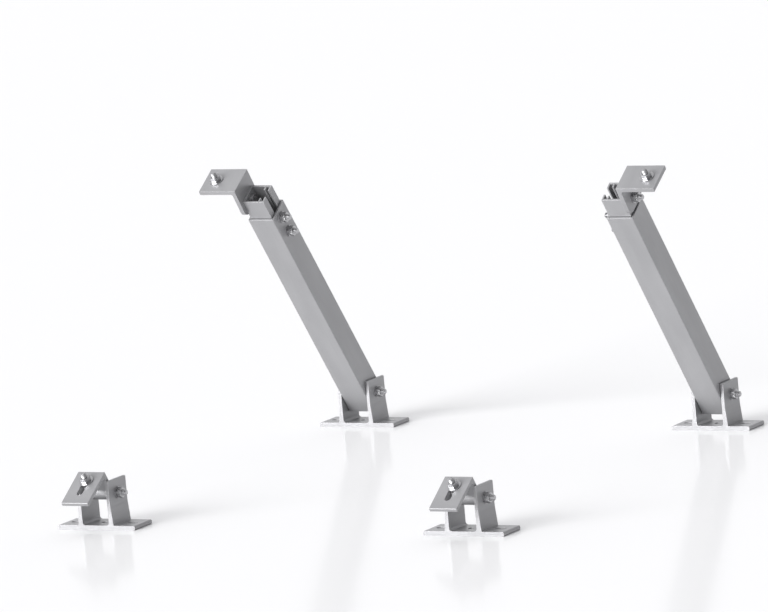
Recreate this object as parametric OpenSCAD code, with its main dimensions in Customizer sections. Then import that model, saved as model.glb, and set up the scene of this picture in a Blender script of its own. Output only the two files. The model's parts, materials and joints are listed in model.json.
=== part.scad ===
// Adjustable tilt mount for a framed solar panel.
// Two low front feet with hinged panel brackets, and two telescoping rear legs on the same feet.
// X runs along the row of feet, Y from the front feet to the rear legs, Z up. Sizes in millimetres.

/* [Layout] */
// Distance between the left and right feet, centre to centre
foot_spacing = 560; // [300:1:1200]
// Distance from the front feet to the rear feet
row_depth = 706; // [400:1:1000]
// Tilt of the panel plane from the horizontal, degrees
panel_tilt = 33; // [20:0.5:45]
// Lean of the rear legs from the vertical, degrees
leg_lean = 36; // [20:0.5:45]

/* [Foot] */
// Length of the foot plate across the ears
plate_len = 120; // [100:1:180]
// Depth of the foot extrusion
foot_depth = 45; // [34:1:70]
// Thickness of the foot plate
plate_t = 6; // [5:0.5:10]
// Radius on the ends of the plate
plate_edge_r = 2; // [0.5:0.25:2.5]
// Height of the ears above the plate
ear_h = 60; // [50:1:80]
// Thickness of an ear at its top
ear_t = 4.5; // [3:0.5:8]
// Bevel on the outer top edge of an ear
ear_bevel = 1; // [0.5:0.25:2]
// Bevel on the inner top edge of an ear
ear_lead_in = 0.5; // [0.25:0.25:1.5]
// Extra thickness of an ear at its root
ear_flare = 2.5; // [0.5:0.25:5]
// Height above the plate where the flare ends
flare_h = 26; // [10:1:30]
// Fillet where an ear meets the plate inside
root_r = 4; // [1:0.5:5]
// Height of the pivot hole above the plate
pivot_h = 41; // [36:0.5:48]
// Width of an anchor slot in the plate wings
anchor_slot_w = 9; // [6:0.5:12]
// Length of an anchor slot
anchor_slot_len = 16; // [12:1:22]

/* [Front bracket] */
// Clearance of the front bracket between the ears, each side
hinge_gap = 0.25; // [0.1:0.05:0.6]
// Length of the panel flange along the slope
front_flange_len = 60; // [52:1:90]
// Wall thickness of the front bracket
front_t = 5.5; // [3:0.5:8]
// Height of the flange face above the pivot
front_rise = 38; // [32:1:45]
// Outside radius of the hinge barrel
barrel_r = 10; // [8:0.5:12]
// Radius on the edges of the panel flange
flange_edge_r = 1; // [0.5:0.25:1.5]
// Distance from the top edge of the flange to its slot
slot_inset = 9; // [8:0.5:14]
// Length of the flange slot
slot_len = 36; // [20:1:40]
// Distance from the top edge of the flange to the panel bolt
front_bolt_inset = 18; // [16:0.5:24]

/* [Rear leg] */
// Outside width of the square tube
tube_w = 40; // [36:0.5:50]
// Clearance of the tube between the ears, each side
ear_clear = 0.5; // [0.2:0.1:1]
// Wall of the square tube
tube_wall = 2.5; // [2:0.25:3.5]
// Radius on the long edges of the tube
tube_edge_r = 1.5; // [0.5:0.25:2.5]
// Length of the tube beyond its pivot
tube_tail = 20; // [16:0.5:26]
// Distance from the top of the tube to the panel plane
tube_short = 57; // [52:0.5:120]

/* [Inner channel] */
// Clearance of the channel in the tube, each side
slide_gap = 0.9; // [0.3:0.1:0.9]
// Wall of the channel
channel_wall = 2.6; // [2:0.1:3]
// Width of the mouth between the lips
mouth_w = 12; // [10:0.5:16]
// Thickness of a lip and of an inner rib
lip_t = 2.2; // [1.5:0.1:3]
// Room for the bolt heads between lip and rib
groove_h = 5; // [4:0.1:5.6]
// Height of the inner ribs from the side walls
rib_len = 6; // [4:0.5:8]
// Length of the channel
channel_len = 250; // [150:1:290]
// Distance from the top of the channel to its bracket bolt
rim_above_bolt = 11; // [10:0.5:14]
// Distance from the top of the tube to the upper lock bolt
lock_inset = 14; // [12:0.5:25]
// Distance between the two lock bolts of a leg
lock_pitch = 27; // [24:0.5:50]

/* [Top bracket] */
// Length of the top flange away from the leg
top_flange_len = 57; // [50:1:90]
// Width of the top bracket along the slope
top_w = 46; // [36:1:60]
// Thickness of the top bracket
top_t = 6; // [4:0.5:8]
// Distance from the bracket bolt to the panel plane
top_rise = 36; // [34:0.5:40]
// Length of the web below the bracket bolt
web_tail = 13; // [11:0.5:14]
// Radius of the lower corners of the web
web_corner_r = 10; // [4:0.5:12]
// Fillet inside the bend of the bracket
bend_r = 3; // [1:0.5:5]
// Distance from the outer edge of the flange to the panel bolt
top_bolt_inset = 18; // [14:0.5:25]

/* [Fasteners] */
// Diameter of the threaded fasteners
bolt_d = 8; // [6:0.5:8.5]
// Clearance of a bolt in its hole, each side
hole_gap = 0.25; // [0.1:0.05:0.6]
// Fit of a nut on its thread, each side
thread_gap = 0.05; // [0.02:0.01:0.1]
// Thread left beyond a nut
thread_out = 6; // [3:0.5:9]
// Play of a slot bolt's head in its groove
tee_gap = 0.4; // [0.2:0.1:0.8]
// Room past each end of a slot bolt's head
tee_end_gap = 2; // [1:0.25:3]

/* [Hidden] */
// Overlap of joined shapes, and the reach of a cut past the face that it opens
eps = 0.01;
cut = 1;

tube_half = tube_w / 2;
ear_in = tube_half + ear_clear;
bracket_w = 2 * (ear_in - hinge_gap);
ear_out = ear_in + ear_t;
ear_root = ear_out + ear_flare;

// Standard proportions of the fasteners to their diameter
bolt_r = bolt_d / 2;
hole_r = bolt_r + hole_gap;
hex_af = bolt_d * 1.625;
head_h = bolt_d * 0.6625;
nut_h = bolt_d * 0.8125;
washer_d = bolt_d * 2;
wide_washer_d = bolt_d * 2.5;
washer_t = bolt_d * 0.2;
thread_pitch = bolt_d * 0.156;
thread_depth = bolt_d * 0.08;
bolt_tip = bolt_d / 8;
panel_bolt_len = washer_t + nut_h + thread_out;

wing_mid = (ear_root + plate_len / 2) / 2;
pivot_y = foot_depth / 2;
pivot_z = plate_t + pivot_h;

// The rear flanges lie in the plane of the front flanges
leg_reach = (row_depth * sin(panel_tilt) + front_rise) / cos(panel_tilt - leg_lean);
bolt_s = leg_reach - top_rise / cos(panel_tilt - leg_lean);
rim_s = bolt_s + rim_above_bolt;
tube_s = leg_reach - tube_short;
channel_w = tube_w - 2 * tube_wall - 2 * slide_gap;
channel_half = channel_w / 2;
groove_floor = channel_half - lip_t - groove_h;
groove_half = channel_half - channel_wall;
rib_in = groove_half - rib_len;
lock_bolt_x = channel_half - lip_t;
tee_len = 2 * (groove_half - tee_end_gap);
tee_w = mouth_w - 2 * tee_gap;
tee_h = groove_h - tee_gap;

// Depth of the assembled mount, used to put the origin under its middle
front_y = pivot_y - flange_edge_r
    - (front_flange_len - flange_edge_r) * cos(panel_tilt)
    - (front_rise - flange_edge_r) * sin(panel_tilt);
tail_y = row_depth + pivot_y + tube_half * cos(leg_lean) + tube_tail * sin(leg_lean);
back_y = max(row_depth + foot_depth, tail_y);
mid_y = (front_y + back_y) / 2;

$fn = 48;

// Frames of the pieces

// Foot frame: origin under the middle of the foot's front edge
module at_foot(x, y)
    translate([x, y - mid_y, 0])
        children();

module at_front(side)
    at_foot(side * foot_spacing / 2, 0)
        children();

module at_rear(side)
    at_foot(side * foot_spacing / 2, row_depth)
        children();

// Hinge frame of a front bracket: Y up the slope, Z out of the panel plane
module at_front_hinge(side)
    at_front(side)
        translate([0, pivot_y, pivot_z])
            rotate([panel_tilt, 0, 0])
                children();

// Leg frame: Z along the leg from its pivot. The right leg is the mirror image of the left one
module at_leg(side)
    at_rear(side)
        translate([0, pivot_y, pivot_z])
            rotate([leg_lean, 0, 0])
                mirror([side < 0 ? 0 : 1, 0, 0])
                    children();

// Bracket frame: at the bracket bolt, turned to the panel plane
module at_top(side)
    at_leg(side)
        translate([0, 0, bolt_s])
            rotate([panel_tilt - leg_lean, 0, 0])
                children();

// Fasteners, drawn along Z from the face under the head

module hex_block(h, bevel_side) {
    corner_r = hex_af / sqrt(3);
    bevel = corner_r - hex_af / 2;
    intersection() {
        cylinder(r = corner_r, h = h, $fn = 6);
        union() {
            translate([0, 0, bevel_side < 0 ? bevel : 0])
                cylinder(r = corner_r + eps, h = h - bevel);
            translate([0, 0, bevel_side < 0 ? 0 : h - bevel])
                cylinder(
                    r1 = bevel_side < 0 ? hex_af / 2 - bevel / 2 : corner_r + eps,
                    r2 = bevel_side < 0 ? corner_r + eps : hex_af / 2 - bevel / 2,
                    h = bevel
                );
        }
    }
}

// Shank with its thread drawn as one root past the nut's face
module shank(len) {
    root_z = len - thread_out;
    rotate_extrude()
        polygon([
            [0, 0],
            [bolt_r, 0],
            [bolt_r, root_z],
            [bolt_r - thread_depth, root_z + thread_pitch / 2],
            [bolt_r, root_z + thread_pitch],
            [bolt_r, len - bolt_tip],
            [bolt_r - bolt_tip, len],
            [0, len]
        ]);
}

module hex_bolt(len) {
    translate([0, 0, -head_h])
        hex_block(head_h, -1);
    shank(len);
}

module hex_nut()
    difference() {
        hex_block(nut_h, 1);
        translate([0, 0, -cut])
            cylinder(r = bolt_r + thread_gap, h = nut_h + 2 * cut);
    }

module washer(d)
    difference() {
        cylinder(r = d / 2, h = washer_t);
        translate([0, 0, -cut])
            cylinder(r = bolt_r + hole_gap / 2, h = washer_t + 2 * cut);
    }

// Slot bolt: a hammer head that lies across the channel's groove
module tee_bolt(len) {
    translate([0, 0, -tee_h])
        linear_extrude(tee_h)
            intersection() {
                square([tee_len, tee_w], center = true);
                circle(r = tee_len / 2);
            }
    shank(len);
}

// Foot

module ear_profile()
    polygon([
        [ear_in, plate_t - eps],
        [ear_root, plate_t - eps],
        [ear_out, plate_t + flare_h],
        [ear_out, plate_t + ear_h - ear_bevel],
        [ear_out - ear_bevel, plate_t + ear_h],
        [ear_in + ear_lead_in, plate_t + ear_h],
        [ear_in, plate_t + ear_h - ear_lead_in]
    ]);

module foot_profile() {
    half = plate_len / 2;
    translate([-half + plate_edge_r, 0])
        square([plate_len - 2 * plate_edge_r, plate_t]);
    for (s = [-1, 1]) {
        translate([s > 0 ? half - plate_edge_r - eps : -half, plate_edge_r])
            square([plate_edge_r + eps, plate_t - 2 * plate_edge_r]);
        for (z = [plate_edge_r, plate_t - plate_edge_r])
            translate([s * (half - plate_edge_r), z])
                circle(r = plate_edge_r);
        mirror([s < 0 ? 1 : 0, 0])
            ear_profile();
        translate([s * ear_in, plate_t])
            mirror([s > 0 ? 1 : 0, 0])
                difference() {
                    translate([-eps, -eps])
                        square(root_r + eps);
                    translate([root_r, root_r])
                        circle(r = root_r);
                }
    }
}

module anchor_slot()
    translate([0, 0, -cut])
        linear_extrude(plate_t + 2 * cut)
            union() {
                square([anchor_slot_len - anchor_slot_w, anchor_slot_w], center = true);
                for (s = [-1, 1])
                    translate([s * (anchor_slot_len - anchor_slot_w) / 2, 0])
                        circle(r = anchor_slot_w / 2);
            }

module foot()
    difference() {
        translate([0, foot_depth, 0])
            rotate([90, 0, 0])
                linear_extrude(foot_depth)
                    foot_profile();
        for (s = [-1, 1])
            translate([s * wing_mid, pivot_y, 0])
                anchor_slot();
        translate([0, pivot_y, -cut])
            cylinder(r = anchor_slot_w / 2, h = plate_t + 2 * cut);
        translate([-plate_len / 2, pivot_y, pivot_z])
            rotate([0, 90, 0])
                cylinder(r = hole_r, h = plate_len);
    }

// Pivot fasteners of a foot, the head on the left ear

module at_pivot_axis(x)
    translate([x, pivot_y, pivot_z])
        rotate([0, 90, 0])
            children();

module pivot_bolt()
    at_pivot_axis(-ear_out - washer_t)
        hex_bolt(2 * ear_out + 2 * washer_t + nut_h + thread_out);

module pivot_nut()
    at_pivot_axis(ear_out + washer_t)
        hex_nut();

module pivot_washers() {
    at_pivot_axis(-ear_out - washer_t)
        washer(washer_d);
    at_pivot_axis(ear_out)
        washer(washer_d);
}

// Front bracket: barrel, web and panel flange in one extrusion along X

module front_profile() {
    edge_r = flange_edge_r;
    circle(r = barrel_r);
    translate([-front_t, 0])
        square([front_t, front_rise - edge_r]);
    translate([-front_flange_len + edge_r, front_rise - front_t])
        square([front_flange_len - 2 * edge_r, front_t]);
    translate([-front_flange_len, front_rise - front_t + edge_r])
        square([front_flange_len, front_t - 2 * edge_r]);
    for (u = [-front_flange_len + edge_r, -edge_r])
        for (n = [front_rise - front_t + edge_r, front_rise - edge_r])
            translate([u, n])
                circle(r = edge_r);
    translate([-front_t - bend_r, front_rise - front_t - bend_r])
        difference() {
            square([bend_r + eps, bend_r + eps]);
            circle(r = bend_r);
        }
}

module slot_cut()
    translate([0, -slot_inset - slot_len / 2, front_rise - front_t - cut])
        linear_extrude(front_t + 2 * cut)
            union() {
                square([anchor_slot_w, slot_len - anchor_slot_w], center = true);
                for (s = [-1, 1])
                    translate([0, s * (slot_len - anchor_slot_w) / 2])
                        circle(r = anchor_slot_w / 2);
            }

module front_bracket()
    difference() {
        translate([-bracket_w / 2, 0, 0])
            rotate([90, 0, 90])
                linear_extrude(bracket_w)
                    front_profile();
        translate([-bracket_w, 0, 0])
            rotate([0, 90, 0])
                cylinder(r = hole_r, h = 2 * bracket_w);
        slot_cut();
    }

module at_front_bolt(z)
    translate([0, -front_bolt_inset, z])
        children();

// Rear leg

module square_ring(w, wall, r)
    difference() {
        rounded_square(w, r);
        square(w - 2 * wall, center = true);
    }

module rounded_square(w, r) {
    square([w, w - 2 * r], center = true);
    square([w - 2 * r, w], center = true);
    for (x = [-1, 1])
        for (y = [-1, 1])
            translate([x, y] * (w / 2 - r))
                circle(r = r);
}

module leg_tube()
    difference() {
        translate([0, 0, -tube_tail])
            linear_extrude(tube_s + tube_tail)
                square_ring(tube_w, tube_wall, tube_edge_r);
        translate([-tube_w, 0, 0])
            rotate([0, 90, 0])
                cylinder(r = hole_r, h = 2 * tube_w);
        for (i = [0, 1])
            translate([0, 0, tube_s - lock_inset - i * lock_pitch])
                rotate([0, 90, 0])
                    cylinder(r = hole_r, h = tube_w);
    }

// Channel section: closed side at -X, lipped mouth with a bolt groove at +X
module channel_profile()
    difference() {
        square(channel_w, center = true);
        translate([-channel_half + channel_wall, -groove_half])
            square([groove_floor - lip_t + channel_half - channel_wall, 2 * groove_half]);
        translate([groove_floor - lip_t - eps, rib_in])
            mirror([0, 1])
                square([lip_t + 2 * eps, 2 * rib_in]);
        translate([groove_floor, -groove_half])
            square([groove_h, 2 * groove_half]);
        translate([0, -mouth_w / 2])
            square([channel_half + cut, mouth_w]);
    }

module leg_channel()
    difference() {
        translate([0, 0, rim_s - channel_len])
            linear_extrude(channel_len)
                channel_profile();
        translate([-channel_w, 0, bolt_s])
            rotate([0, 90, 0])
                cylinder(r = hole_r, h = channel_w);
    }

// Lock fasteners stand on the open side of the leg

module at_lock(x)
    for (i = [0, 1])
        translate([x, 0, tube_s - lock_inset - i * lock_pitch])
            rotate([0, 90, 0])
                rotate([0, 0, 90])
                    children();

module lock_bolts()
    at_lock(lock_bolt_x)
        tee_bolt(tube_half - lock_bolt_x + washer_t + nut_h + thread_out);

module lock_nuts()
    at_lock(tube_half + washer_t)
        hex_nut();

module lock_washers()
    at_lock(tube_half)
        washer(washer_d);

// Top bracket: a web on the closed side of the channel and a flange away from the leg

module top_profile() {
    translate([-channel_half - top_flange_len, top_rise - top_t])
        square([top_flange_len, top_t]);
    translate([-channel_half - top_t, -web_tail])
        square([top_t, top_rise + web_tail]);
    translate([-channel_half - top_t - bend_r, top_rise - top_t - bend_r])
        difference() {
            square([bend_r + eps, bend_r + eps]);
            circle(r = bend_r);
        }
}

module web_corner(side)
    translate([0, side * top_w / 2, -web_tail])
        rotate([0, -90, 0])
            mirror([0, side < 0 ? 0 : 1, 0])
                linear_extrude(channel_half + top_flange_len)
                    difference() {
                        translate([-cut, -cut])
                            square(web_corner_r + cut);
                        translate([web_corner_r, web_corner_r])
                            circle(r = web_corner_r);
                    }

module top_bracket()
    difference() {
        translate([0, top_w / 2, 0])
            rotate([90, 0, 0])
                linear_extrude(top_w)
                    top_profile();
        for (s = [-1, 1])
            web_corner(s);
        translate([-channel_half - 2 * top_t, 0, 0])
            rotate([0, 90, 0])
                cylinder(r = hole_r, h = 4 * top_t);
        translate([-channel_half - top_flange_len + top_bolt_inset, 0, top_rise - top_t - cut])
            cylinder(r = hole_r, h = top_t + 2 * cut);
    }

// Bracket fasteners, the head inside the channel

module at_bracket_axis(x)
    translate([x, 0, 0])
        rotate([0, -90, 0])
            children();

module bracket_bolt()
    at_bracket_axis(-channel_half + channel_wall)
        hex_bolt(channel_wall + top_t + washer_t + nut_h + thread_out);

module bracket_nut()
    at_bracket_axis(-channel_half - top_t - washer_t)
        hex_nut();

module bracket_washer()
    at_bracket_axis(-channel_half - top_t)
        washer(washer_d);

module at_top_bolt(z)
    translate([-channel_half - top_flange_len + top_bolt_inset, 0, z])
        children();

// Coloured pieces, one module for each kind

module foot_piece()
    color("silver")
        foot();

module pivot_bolt_piece()
    color("gainsboro")
        pivot_bolt();

module pivot_nut_piece()
    color("gainsboro")
        pivot_nut();

module pivot_washers_piece()
    color("gainsboro")
        pivot_washers();

module front_bracket_piece()
    color("silver")
        front_bracket();

module front_panel_bolt_piece()
    color("gainsboro")
        at_front_bolt(front_rise - front_t)
            hex_bolt(front_t + panel_bolt_len);

module front_panel_nut_piece()
    color("gainsboro")
        at_front_bolt(front_rise + washer_t)
            hex_nut();

module front_panel_washer_piece()
    color("gainsboro")
        at_front_bolt(front_rise)
            washer(wide_washer_d);

module tube_piece()
    color("silver")
        leg_tube();

module channel_piece()
    color("silver")
        leg_channel();

module lock_bolts_piece()
    color("gainsboro")
        lock_bolts();

module lock_nuts_piece()
    color("gainsboro")
        lock_nuts();

module lock_washers_piece()
    color("gainsboro")
        lock_washers();

module top_bracket_piece()
    color("silver")
        top_bracket();

module bracket_bolt_piece()
    color("gainsboro")
        bracket_bolt();

module bracket_nut_piece()
    color("gainsboro")
        bracket_nut();

module bracket_washer_piece()
    color("gainsboro")
        bracket_washer();

module top_panel_bolt_piece()
    color("gainsboro")
        at_top_bolt(top_rise - top_t)
            hex_bolt(top_t + panel_bolt_len);

module top_panel_nut_piece()
    color("gainsboro")
        at_top_bolt(top_rise + washer_t)
            hex_nut();

module top_panel_washer_piece()
    color("gainsboro")
        at_top_bolt(top_rise)
            washer(wide_washer_d);

// Front left foot
at_front(-1) foot_piece();  // front_left_base
at_front_hinge(-1) front_bracket_piece();  // front_left_bracket
at_front(-1) pivot_bolt_piece();  // front_left_pivot_bolt
at_front(-1) pivot_nut_piece();  // front_left_pivot_nut
at_front(-1) pivot_washers_piece();  // front_left_pivot_washers
at_front_hinge(-1) front_panel_bolt_piece();  // front_left_panel_bolt
at_front_hinge(-1) front_panel_nut_piece();  // front_left_panel_nut
at_front_hinge(-1) front_panel_washer_piece();  // front_left_panel_washer

// Front right foot
at_front(1) foot_piece();  // front_right_base
at_front_hinge(1) front_bracket_piece();  // front_right_bracket
at_front(1) pivot_bolt_piece();  // front_right_pivot_bolt
at_front(1) pivot_nut_piece();  // front_right_pivot_nut
at_front(1) pivot_washers_piece();  // front_right_pivot_washers
at_front_hinge(1) front_panel_bolt_piece();  // front_right_panel_bolt
at_front_hinge(1) front_panel_nut_piece();  // front_right_panel_nut
at_front_hinge(1) front_panel_washer_piece();  // front_right_panel_washer

// Rear left leg
at_rear(-1) foot_piece();  // rear_left_base
at_leg(-1) tube_piece();  // rear_left_tube
at_leg(-1) channel_piece();  // rear_left_channel
at_top(-1) top_bracket_piece();  // rear_left_top_bracket
at_rear(-1) pivot_bolt_piece();  // rear_left_pivot_bolt
at_rear(-1) pivot_nut_piece();  // rear_left_pivot_nut
at_rear(-1) pivot_washers_piece();  // rear_left_pivot_washers
at_leg(-1) lock_bolts_piece();  // rear_left_lock_bolts
at_leg(-1) lock_nuts_piece();  // rear_left_lock_nuts
at_leg(-1) lock_washers_piece();  // rear_left_lock_washers
at_top(-1) bracket_bolt_piece();  // rear_left_bracket_bolt
at_top(-1) bracket_nut_piece();  // rear_left_bracket_nut
at_top(-1) bracket_washer_piece();  // rear_left_bracket_washer
at_top(-1) top_panel_bolt_piece();  // rear_left_panel_bolt
at_top(-1) top_panel_nut_piece();  // rear_left_panel_nut
at_top(-1) top_panel_washer_piece();  // rear_left_panel_washer

// Rear right leg
at_rear(1) foot_piece();  // rear_right_base
at_leg(1) tube_piece();  // rear_right_tube
at_leg(1) channel_piece();  // rear_right_channel
at_top(1) top_bracket_piece();  // rear_right_top_bracket
at_rear(1) pivot_bolt_piece();  // rear_right_pivot_bolt
at_rear(1) pivot_nut_piece();  // rear_right_pivot_nut
at_rear(1) pivot_washers_piece();  // rear_right_pivot_washers
at_leg(1) lock_bolts_piece();  // rear_right_lock_bolts
at_leg(1) lock_nuts_piece();  // rear_right_lock_nuts
at_leg(1) lock_washers_piece();  // rear_right_lock_washers
at_top(1) bracket_bolt_piece();  // rear_right_bracket_bolt
at_top(1) bracket_nut_piece();  // rear_right_bracket_nut
at_top(1) bracket_washer_piece();  // rear_right_bracket_washer
at_top(1) top_panel_bolt_piece();  // rear_right_panel_bolt
at_top(1) top_panel_nut_piece();  // rear_right_panel_nut
at_top(1) top_panel_washer_piece();  // rear_right_panel_washer
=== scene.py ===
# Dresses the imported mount: satin aluminium extrusions, threaded stainless fasteners,
# a pale polished floor, soft light and the camera. Metres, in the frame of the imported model.

import json
import math

import bmesh
import bpy
from mathutils import Matrix, Vector
from mathutils.bvhtree import BVHTree


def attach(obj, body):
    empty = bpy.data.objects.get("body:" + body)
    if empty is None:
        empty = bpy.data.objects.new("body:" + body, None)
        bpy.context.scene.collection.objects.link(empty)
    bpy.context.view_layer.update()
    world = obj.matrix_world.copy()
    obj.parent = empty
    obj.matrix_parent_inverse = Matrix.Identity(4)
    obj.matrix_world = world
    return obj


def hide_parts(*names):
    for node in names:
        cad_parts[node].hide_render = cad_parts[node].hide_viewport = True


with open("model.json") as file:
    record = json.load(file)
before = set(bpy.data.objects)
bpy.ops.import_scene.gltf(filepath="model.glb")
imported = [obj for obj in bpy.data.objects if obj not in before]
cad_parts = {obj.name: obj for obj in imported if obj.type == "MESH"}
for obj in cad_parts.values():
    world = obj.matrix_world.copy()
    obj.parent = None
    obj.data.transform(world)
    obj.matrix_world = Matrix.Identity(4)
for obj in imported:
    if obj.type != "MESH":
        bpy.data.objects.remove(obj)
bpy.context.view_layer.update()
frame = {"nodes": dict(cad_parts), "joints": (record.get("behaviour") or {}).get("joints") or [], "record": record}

MM = 0.001
SIDES = ("left", "right")
UP = (0, 0, 1)

# Distance below which two places are the same, and the cosine below which two faces are opposite
CONTACT = 0.001 * MM
OPPOSITE = -0.99

# Fasteners: M8, with the sizes of their threads, heads and nuts
BOLT_R = 4.0 * MM
THREAD_PITCH = 1.25 * MM
THREAD_DEPTH = 0.68 * MM
THREAD_LENGTH = 20 * MM
FLANK_SLOPE = 1.3
CREST_FLAT = 0.15
PLAIN_SHANK_MIN = 0.2 * MM
TIP_CHAMFER = 0.9 * MM
TIP_EDGE = 0.02 * MM
TIP_EDGE_R = BOLT_R - 0.9 * THREAD_DEPTH
TIP_END_R = BOLT_R - THREAD_DEPTH - TIP_CHAMFER / 2
HEAD_HEIGHT = 5.3 * MM
HEX_FLATS = 13 * MM
HEX_LAND_R = 0.96 * HEX_FLATS / 2
WASHER_FACE = 0.4 * MM
HEX_CHAMFER_SLOPE = math.tan(math.radians(30))
NUT_COUNTERSINK = 0.5 * MM
SLOT_HEAD = (24 * MM, 11 * MM, 4.6 * MM)
SLOT_HEAD_STEPS = 6
ROUND_STEPS = 48
STEPS_PER_PITCH = 8
SHARP_ANGLE = math.radians(28)

# Metal colours, roughness from polished to dull, and rounding of the edges
ALUMINIUM_DARK = (0.33, 0.33, 0.34, 1)
ALUMINIUM_LIGHT = (0.38, 0.38, 0.39, 1)
# Lighter colour laid along every sharp edge: polish from handling, and a painted highlight
ALUMINIUM_WEAR_AND_SHEEN = (0.62, 0.62, 0.63, 1)
ALUMINIUM_ROUGHNESS = (0.36, 0.50)
ALUMINIUM_METALLIC = 0.5
ALUMINIUM_ROUNDING = 0.35 * MM
STEEL_DARK = (0.42, 0.42, 0.43, 1)
STEEL_LIGHT = (0.55, 0.55, 0.56, 1)
STEEL_ROUGHNESS = (0.22, 0.38)
STEEL_ROUNDING = 0.15 * MM

# Rays that each rounded edge is looked up with
ROUNDING_SAMPLES = 6

# How far the edge polish and painted highlight reach in from an edge, and the cosines of the turn where they are
# full and gone
WEAR_AND_SHEEN_REACH = 0.6 * MM
WEAR_AND_SHEEN_BAND = (0.86, 0.995)

# Cosines to the extrusion's direction from which a face turns into a sawn end
END_BAND = (0.9, 0.95)

# Where most values of a noise texture lie
NOISE_BAND = (0.3, 0.7)

# Textures: features per metre, their squeeze lengthwise, and levels of detail
DIE_LINES = (1400, 0.01, 3)
SAW_MARKS = (900, 0.02, 2)
CLOUDS = (26, 0.25, 3)
GRAIN = (5200, 1, 2)
STEEL_POLISH = (240, 1, 4)
STEEL_MARKS = (2600, 1, 2)

# Relief of the fine marks: height and strength
LINE_RELIEF = (0.03 * MM, 0.35)
GRAIN_RELIEF = (0.02 * MM, 0.25)
MARK_RELIEF = (0.02 * MM, 0.2)

# Camera at the photograph's viewing angle: a long lens with no shift
IMAGE_WIDTH_PX = 768
SENSOR_WIDTH_MM = 36
CAMERA_FOCAL_PX = 8198
CAMERA_POSITION = Vector((5.470, -9.433, 1.982))
CAMERA_YAW = math.radians(-30.17)
CAMERA_PITCH = math.radians(-9.08)
CAMERA_ROLL = math.radians(-5.19)
VIEW_RANGE = 200

# Floor: half its width, its colour, and the share and roughness of its polish
FLOOR_REACH = 60
FLOOR_COLOR = (0.95, 0.95, 0.955, 1)
FLOOR_POLISH = 0.12
FLOOR_ROUGHNESS = 0.12

# Studio light: the dome's colour, its brightness low down and overhead, and what is left of it
# to the right, with the heights and the sideways reach over which these change
SKY_COLOR = (0.985, 0.985, 1, 1)
HORIZON_GLOW = 1.25
OVERHEAD_GLOW = 0.83
GLOW_BAND = (0.25, 0.5)
RIGHT_GLOW = 0.3
RIGHT_BAND = (0, 0.8)

# The wide lamp in front
KEY_DIRECTION = Vector((-0.5, -1.0, 0.24))
KEY_STRENGTH = 4.2
KEY_SPREAD = math.radians(44)


# Shader helpers

def new_material(name):
    material = bpy.data.materials.new(name)
    material.use_nodes = True
    tree = material.node_tree
    return material, tree, tree.nodes["Principled BSDF"]


def link(tree, source, target):
    tree.links.new(source, target)


def feed(tree, value, target):
    """Links a socket, or sets a fixed value."""
    if isinstance(value, bpy.types.NodeSocket):
        link(tree, value, target)
    else:
        target.default_value = value


def along_coordinates(tree, direction, share):
    """Object coordinates turned so that Z follows direction, then squeezed along it to a share."""
    coordinates = tree.nodes.new("ShaderNodeTexCoord")
    turn = tree.nodes.new("ShaderNodeMapping")
    rotation = Vector(direction).to_track_quat("Z", "Y").inverted().to_euler()
    turn.inputs["Rotation"].default_value = rotation
    squeeze = tree.nodes.new("ShaderNodeMapping")
    squeeze.inputs["Scale"].default_value = (1, 1, share)
    link(tree, coordinates.outputs["Object"], turn.inputs["Vector"])
    link(tree, turn.outputs["Vector"], squeeze.inputs["Vector"])
    return squeeze.outputs["Vector"]


def noise(tree, direction, kind):
    """Noise whose features are drawn out along direction."""
    scale, squeeze, detail = kind
    texture = tree.nodes.new("ShaderNodeTexNoise")
    texture.inputs["Scale"].default_value = scale
    texture.inputs["Detail"].default_value = detail
    link(tree, along_coordinates(tree, direction, squeeze), texture.inputs["Vector"])
    return texture.outputs["Fac"]


def to_range(tree, value, low, high, band=NOISE_BAND):
    """Goes from low to high while value goes through the band."""
    node = tree.nodes.new("ShaderNodeMapRange")
    node.inputs["From Min"].default_value = band[0]
    node.inputs["From Max"].default_value = band[1]
    node.inputs["To Min"].default_value = low
    node.inputs["To Max"].default_value = high
    link(tree, value, node.inputs["Value"])
    return node.outputs["Result"]


def mix(tree, factor, first, second, kind):
    node = tree.nodes.new("ShaderNodeMix")
    node.data_type = kind
    for name, value in (("Factor", factor), ("A", first), ("B", second)):
        feed(tree, value, node.inputs[name])
    return node.outputs["Result"]


def bump(tree, height, relief, normal):
    distance, strength = relief
    node = tree.nodes.new("ShaderNodeBump")
    node.inputs["Distance"].default_value = distance
    node.inputs["Strength"].default_value = strength
    link(tree, height, node.inputs["Height"])
    link(tree, normal, node.inputs["Normal"])
    return node.outputs["Normal"]


def rounded_normal(tree, radius):
    node = tree.nodes.new("ShaderNodeBevel")
    node.samples = ROUNDING_SAMPLES
    node.inputs["Radius"].default_value = radius
    return node.outputs["Normal"]


def vector_dot(tree, first, second):
    """Absolute dot product of a socket with another socket or with a fixed direction."""
    dot = tree.nodes.new("ShaderNodeVectorMath")
    dot.operation = "DOT_PRODUCT"
    link(tree, first, dot.inputs[0])
    feed(tree, second, dot.inputs[1])
    size = tree.nodes.new("ShaderNodeMath")
    size.operation = "ABSOLUTE"
    link(tree, dot.outputs["Value"], size.inputs[0])
    return size.outputs["Value"]


def wear_and_sheen_mask(tree, radius):
    """One along the sharp edges, where handling and deburring polish the metal, and where the colour is lightened
    as a painted highlight.
    """
    plain = tree.nodes.new("ShaderNodeNewGeometry")
    turned = vector_dot(tree, rounded_normal(tree, radius), plain.outputs["Normal"])
    return to_range(tree, turned, 1, 0, WEAR_AND_SHEEN_BAND)


def end_mask(tree, direction):
    """One on the faces that a saw cut across the extrusion."""
    coordinates = tree.nodes.new("ShaderNodeTexCoord")
    facing = vector_dot(tree, coordinates.outputs["Normal"], tuple(Vector(direction).normalized()))
    return to_range(tree, facing, 0, 1, END_BAND)


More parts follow.
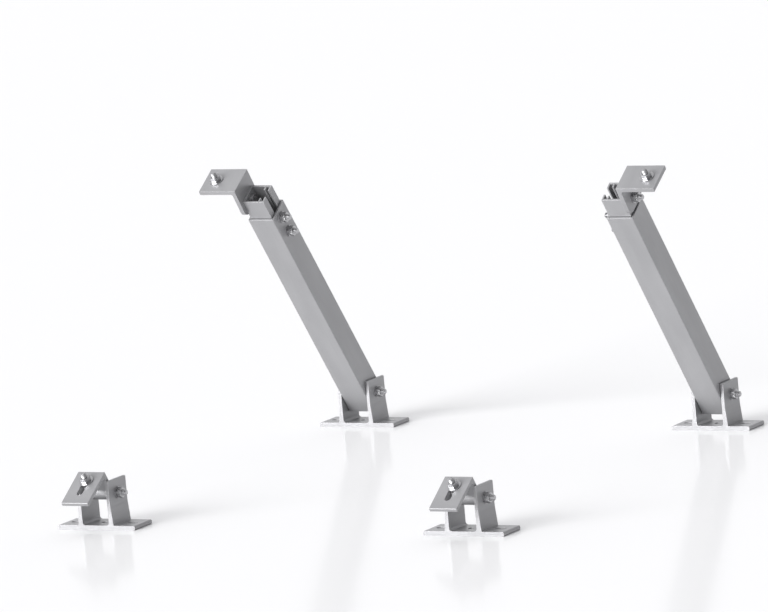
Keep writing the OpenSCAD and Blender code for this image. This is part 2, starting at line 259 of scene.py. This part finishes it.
def aluminium(name, direction, across):
    """Satin anodised extrusion: die lines along direction, saw marks along across on its ends,
    faint clouding, and edges lightened by polish and by a painted highlight."""
    material, tree, surface = new_material(name)
    lines = noise(tree, direction, DIE_LINES)
    saw_marks = noise(tree, across, SAW_MARKS)
    clouds = noise(tree, direction, CLOUDS)
    grain = noise(tree, direction, GRAIN)
    marks = mix(tree, end_mask(tree, direction), lines, saw_marks, "FLOAT")
    shade = to_range(tree, clouds, 0, 1)
    body_color = mix(tree, shade, ALUMINIUM_DARK, ALUMINIUM_LIGHT, "RGBA")
    # Edges lightened in the base colour: polish from handling, and a painted highlight
    color = mix(tree, wear_and_sheen_mask(tree, WEAR_AND_SHEEN_REACH), body_color, ALUMINIUM_WEAR_AND_SHEEN, "RGBA")
    link(tree, color, surface.inputs["Base Color"])
    link(tree, to_range(tree, marks, *ALUMINIUM_ROUGHNESS), surface.inputs["Roughness"])
    surface.inputs["Metallic"].default_value = ALUMINIUM_METALLIC
    shape = rounded_normal(tree, ALUMINIUM_ROUNDING)
    lined = bump(tree, marks, LINE_RELIEF, shape)
    link(tree, bump(tree, grain, GRAIN_RELIEF, lined), surface.inputs["Normal"])
    return material


def stainless(name):
    """Bright rolled stainless with fine marks and a little uneven polish."""
    material, tree, surface = new_material(name)
    polish = noise(tree, UP, STEEL_POLISH)
    marks = noise(tree, UP, STEEL_MARKS)
    shade = to_range(tree, polish, 0, 1)
    color = mix(tree, shade, STEEL_DARK, STEEL_LIGHT, "RGBA")
    link(tree, color, surface.inputs["Base Color"])
    link(tree, to_range(tree, polish, *STEEL_ROUGHNESS), surface.inputs["Roughness"])
    surface.inputs["Metallic"].default_value = 1
    shape = rounded_normal(tree, STEEL_ROUNDING)
    link(tree, bump(tree, marks, MARK_RELIEF, shape), surface.inputs["Normal"])
    return material


# Mesh helpers

def ring_mesh(bm, rings, matrix, close_loop=False):
    """Skins rings of equal length; the ends are capped unless the rings close on themselves."""
    rows = [[bm.verts.new(matrix @ Vector(p)) for p in ring] for ring in rings]
    pairs = list(zip(rows, rows[1:]))
    if close_loop:
        pairs.append((rows[-1], rows[0]))
    for low, high in pairs:
        for i in range(len(low)):
            j = (i + 1) % len(low)
            bm.faces.new((low[i], low[j], high[j], high[i]))
    if not close_loop:
        bm.faces.new(list(reversed(rows[0])))
        bm.faces.new(rows[-1])


def circle(radius, z):
    return [
        (radius * math.cos(a), radius * math.sin(a), z)
        for a in (2 * math.pi * i / ROUND_STEPS for i in range(ROUND_STEPS))
    ]


def hexagon(z, toward_end):
    """Ring on the six flats, pulled back at the corners by the chamfer cone of that end."""
    ring = []
    sector = math.pi / 3
    for i in range(ROUND_STEPS):
        a = 2 * math.pi * i / ROUND_STEPS
        r = HEX_FLATS / 2 / math.cos((a % sector) - sector / 2)
        back = (r - HEX_LAND_R) * HEX_CHAMFER_SLOPE
        ring.append((r * math.cos(a), r * math.sin(a), z - toward_end * back))
    return ring


def thread_rings(start, end):
    """Rings along a metric thread that runs out into the plain shank at start."""
    rings = []
    count = int((end - start) / THREAD_PITCH * STEPS_PER_PITCH)
    for k in range(count + 1):
        z = start + (end - start) * k / count
        run_out = min(1, (z - start) / THREAD_PITCH)
        ring = []
        for i in range(ROUND_STEPS):
            turn = i / ROUND_STEPS
            phase = (z / THREAD_PITCH - turn) % 1
            depth = FLANK_SLOPE * (1 - abs(2 * phase - 1)) - CREST_FLAT
            groove = min(1, max(0, depth))
            r = BOLT_R - THREAD_DEPTH * groove * run_out
            a = 2 * math.pi * turn
            ring.append((r * math.cos(a), r * math.sin(a), z))
        rings.append(ring)
    return rings


def shank_rings(length):
    thread_end = length - TIP_CHAMFER
    thread_start = max(PLAIN_SHANK_MIN, thread_end - THREAD_LENGTH)
    rings = [circle(BOLT_R, 0), circle(BOLT_R, thread_start)]
    rings += thread_rings(thread_start, thread_end)
    rings.append(circle(TIP_EDGE_R, thread_end + TIP_EDGE))
    rings.append(circle(TIP_END_R, length))
    return rings


def add_hex_bolt(bm, matrix, length):
    """Hex bolt along Z: head below Z = 0, threaded tip at Z = length."""
    rings = [
        circle(HEX_LAND_R, -HEAD_HEIGHT),
        hexagon(-HEAD_HEIGHT, -1),
        hexagon(-WASHER_FACE, 1),
        circle(HEX_LAND_R, -WASHER_FACE),
        circle(HEX_LAND_R, 0),
    ]
    ring_mesh(bm, rings + shank_rings(length), matrix)


def add_slot_bolt(bm, matrix, length):
    """Hammer-headed bolt for the channel's groove."""
    long_side, short_side, height = SLOT_HEAD
    half = long_side / 2
    corner = math.asin(short_side / long_side)
    steps = SLOT_HEAD_STEPS
    right = [
        (half * math.cos(a), half * math.sin(a))
        for a in (corner * (2 * i / steps - 1) for i in range(steps + 1))
    ]
    outline = right + [(-x, -y) for x, y in right]
    ring_mesh(bm, [[(x, y, z) for x, y in outline] for z in (-height, 0)], matrix)
    ring_mesh(bm, shank_rings(length), matrix)


def add_nut(bm, matrix, height):
    """Hex nut from Z = 0 to Z = height, chamfered and countersunk at both ends."""
    mouth = BOLT_R + NUT_COUNTERSINK
    rings = [
        circle(BOLT_R, NUT_COUNTERSINK),
        circle(mouth, 0),
        circle(HEX_LAND_R, 0),
        hexagon(0, -1),
        hexagon(height, 1),
        circle(HEX_LAND_R, height),
        circle(mouth, height),
        circle(BOLT_R, height - NUT_COUNTERSINK),
    ]
    ring_mesh(bm, rings, matrix, close_loop=True)


def place_piece(name, mesh, body, node):
    piece = bpy.data.objects.new(name, mesh)
    bpy.context.scene.collection.objects.link(piece)
    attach(piece, body)
    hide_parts(node)


def make_piece(name, bm, material, body, node):
    bmesh.ops.recalc_face_normals(bm, faces=bm.faces)
    mesh = bpy.data.meshes.new(name)
    bm.to_mesh(mesh)
    bm.free()
    mesh.materials.append(material)
    mesh.polygons.foreach_set("use_smooth", [True] * len(mesh.polygons))
    mesh.set_sharp_from_angle(angle=SHARP_ANGLE)
    place_piece(name, mesh, body, node)


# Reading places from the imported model

def solids(node):
    """Corner points of each separate solid in a node."""
    bm = bmesh.new()
    bm.from_mesh(frame["nodes"][node].data)
    bmesh.ops.remove_doubles(bm, verts=bm.verts, dist=CONTACT)
    seen = set()
    groups = []
    for first in bm.verts:
        if first in seen:
            continue
        seen.add(first)
        stack = [first]
        group = []
        while stack:
            vert = stack.pop()
            group.append(vert.co.copy())
            for edge in vert.link_edges:
                other = edge.other_vert(vert)
                if other not in seen:
                    seen.add(other)
                    stack.append(other)
        groups.append(group)
    bm.free()
    return groups


def seat(points, axis, across):
    """Matrix at the low end of a solid along axis, X along across, and the solid's length."""
    z = Vector(axis).normalized()
    y = z.cross(Vector(across)).normalized()
    x = y.cross(z)
    low, high = [], []
    for direction in (x, y, z):
        reach = [p.dot(direction) for p in points]
        low.append(min(reach))
        high.append(max(reach))
    origin = x * (low[0] + high[0]) / 2 + y * (low[1] + high[1]) / 2 + z * low[2]
    matrix = Matrix((x, y, z)).transposed().to_4x4()
    matrix.translation = origin
    return matrix, high[2] - low[2]


def replace_bolts(node, axis, across, body, head_height, add):
    bm = bmesh.new()
    for points in solids(node):
        matrix, length = seat(points, axis, across)
        add(bm, matrix @ Matrix.Translation((0, 0, head_height)), length - head_height)
    make_piece(node + "_threaded", bm, steel, body, node)


def replace_nuts(node, axis, across, body):
    bm = bmesh.new()
    for points in solids(node):
        matrix, height = seat(points, axis, across)
        add_nut(bm, matrix, height)
    make_piece(node + "_chamfered", bm, steel, body, node)


def join_solids(node, body):
    """Stands for a piece whose solids lie face to face, without the faces where they meet."""
    mesh = frame["nodes"][node].data.copy()
    bm = bmesh.new()
    bm.from_mesh(mesh)
    tree = BVHTree.FromBMesh(bm)
    inner = []
    for face in bm.faces:
        near = tree.find_nearest_range(face.calc_center_median(), CONTACT)
        if any(normal.dot(face.normal) < OPPOSITE for _, normal, _, _ in near):
            inner.append(face)
    bmesh.ops.delete(bm, geom=inner, context="FACES")
    bm.to_mesh(mesh)
    bm.free()
    place_piece(node + "_joined", mesh, body, node)


# Directions of the pieces: along the row, from front to rear, and from the record's joints and mounts

joints = {joint["name"]: joint for joint in frame["joints"]}
mounts = {mount["name"]: mount for mount in frame["record"]["mounts"]}
row_axis = Vector((1, 0, 0))
depth_axis = Vector((0, 1, 0))
leg_axis = Vector(joints["rear_left_extension"]["axis"])
panel_normal = Vector(mounts["front_left_panel_stud"]["axis"])
slope = panel_normal.cross(row_axis)

steel = stainless("stainless")
foot_metal = aluminium("aluminium_foot", depth_axis, row_axis)
hinge_metal = aluminium("aluminium_front_bracket", row_axis, slope)
leg_metal = aluminium("aluminium_leg", leg_axis, row_axis)
bracket_metal = aluminium("aluminium_top_bracket", slope, row_axis)


def metal_of(node):
    if node.endswith("_base"):
        return foot_metal
    if node.endswith("_tube") or node.endswith("_channel"):
        return leg_metal
    if node.endswith("_top_bracket"):
        return bracket_metal
    if node.startswith("front") and node.endswith("_bracket"):
        return hinge_metal
    return steel


for node, thing in frame["nodes"].items():
    thing.data.materials.clear()
    thing.data.materials.append(metal_of(node))


def dress_foot(row, side):
    join_solids(f"{row}_{side}_base", "feet")
    name = f"{row}_{side}_pivot_"
    replace_bolts(name + "bolt", row_axis, UP, "feet", HEAD_HEIGHT, add_hex_bolt)
    replace_nuts(name + "nut", row_axis, UP, "feet")


def dress_panel_bolt(row, side, body):
    name = f"{row}_{side}_panel_"
    replace_bolts(name + "bolt", panel_normal, row_axis, body, HEAD_HEIGHT, add_hex_bolt)
    replace_nuts(name + "nut", panel_normal, row_axis, body)


def dress_leg(side):
    outward = row_axis * (-1 if side == "left" else 1)
    leg, slider = f"rear_{side}_leg", f"rear_{side}_slider"
    across = leg_axis.cross(row_axis)
    replace_bolts(f"rear_{side}_lock_bolts", -outward, across, leg, SLOT_HEAD[2], add_slot_bolt)
    replace_nuts(f"rear_{side}_lock_nuts", -outward, across, leg)
    replace_bolts(f"rear_{side}_bracket_bolt", outward, slope, slider, HEAD_HEIGHT, add_hex_bolt)
    replace_nuts(f"rear_{side}_bracket_nut", outward, slope, slider)


for side in SIDES:
    dress_foot("front", side)
    dress_foot("rear", side)
    dress_panel_bolt("front", side, f"front_{side}_hinge")
    dress_panel_bolt("rear", side, f"rear_{side}_top")
    dress_leg(side)


# Floor, light and camera

def make_floor():
    mesh = bpy.data.meshes.new("floor")
    turns = ((-1, -1), (1, -1), (1, 1), (-1, 1))
    corners = [(x * FLOOR_REACH, y * FLOOR_REACH, 0) for x, y in turns]
    mesh.from_pydata(corners, [], [(0, 1, 2, 3)])
    floor = bpy.data.objects.new("floor", mesh)
    bpy.context.scene.collection.objects.link(floor)
    material = bpy.data.materials.new("floor")
    material.use_nodes = True
    tree = material.node_tree
    tree.nodes.clear()
    output = tree.nodes.new("ShaderNodeOutputMaterial")
    matt = tree.nodes.new("ShaderNodeBsdfDiffuse")
    matt.inputs["Color"].default_value = FLOOR_COLOR
    gloss = tree.nodes.new("ShaderNodeBsdfGlossy")
    gloss.inputs["Roughness"].default_value = FLOOR_ROUGHNESS
    gloss.inputs["Color"].default_value = (1, 1, 1, 1)
    layers = tree.nodes.new("ShaderNodeMixShader")
    layers.inputs["Fac"].default_value = FLOOR_POLISH
    link(tree, matt.outputs["BSDF"], layers.inputs[1])
    link(tree, gloss.outputs["BSDF"], layers.inputs[2])
    link(tree, layers.outputs["Shader"], output.inputs["Surface"])
    mesh.materials.append(material)


def make_dome():
    """Studio dome that is brightest low down and dimmer to the right."""
    world = bpy.data.worlds.new("studio")
    world.use_nodes = True
    tree = world.node_tree
    sky = tree.nodes["Background"]
    sky.inputs["Color"].default_value = SKY_COLOR
    direction = tree.nodes.new("ShaderNodeTexCoord")
    parts = tree.nodes.new("ShaderNodeSeparateXYZ")
    link(tree, direction.outputs["Generated"], parts.inputs["Vector"])
    glow = to_range(tree, parts.outputs["Z"], HORIZON_GLOW, OVERHEAD_GLOW, GLOW_BAND)
    sides = to_range(tree, parts.outputs["X"], 1, RIGHT_GLOW, RIGHT_BAND)
    product = tree.nodes.new("ShaderNodeMath")
    product.operation = "MULTIPLY"
    link(tree, glow, product.inputs[0])
    link(tree, sides, product.inputs[1])
    link(tree, product.outputs["Value"], sky.inputs["Strength"])
    bpy.context.scene.world = world


def make_key_light():
    light = bpy.data.lights.new("key", "SUN")
    light.energy = KEY_STRENGTH
    light.angle = KEY_SPREAD
    lamp = bpy.data.objects.new("key", light)
    lamp.rotation_euler = (-KEY_DIRECTION).to_track_quat("-Z", "Y").to_euler()
    bpy.context.scene.collection.objects.link(lamp)


def make_camera():
    camera = bpy.data.objects.new("camera", bpy.data.cameras.new("camera"))
    camera.data.sensor_width = SENSOR_WIDTH_MM
    camera.data.lens = CAMERA_FOCAL_PX / IMAGE_WIDTH_PX * SENSOR_WIDTH_MM
    camera.data.clip_end = VIEW_RANGE
    forward = Vector((
        math.sin(CAMERA_YAW) * math.cos(CAMERA_PITCH),
        math.cos(CAMERA_YAW) * math.cos(CAMERA_PITCH),
        math.sin(CAMERA_PITCH),
    ))
    level_right = Vector((math.cos(CAMERA_YAW), -math.sin(CAMERA_YAW), 0))
    level_up = level_right.cross(forward)
    right = level_right * math.cos(CAMERA_ROLL) + level_up * math.sin(CAMERA_ROLL)
    up = level_up * math.cos(CAMERA_ROLL) - level_right * math.sin(CAMERA_ROLL)
    turn = Matrix((right, up, -forward)).transposed().to_4x4()
    camera.matrix_world = Matrix.Translation(CAMERA_POSITION) @ turn
    bpy.context.scene.collection.objects.link(camera)
    bpy.context.scene.camera = camera


make_floor()
make_dome()
make_key_light()
make_camera()
bpy.context.scene.view_settings.view_transform = "Standard"
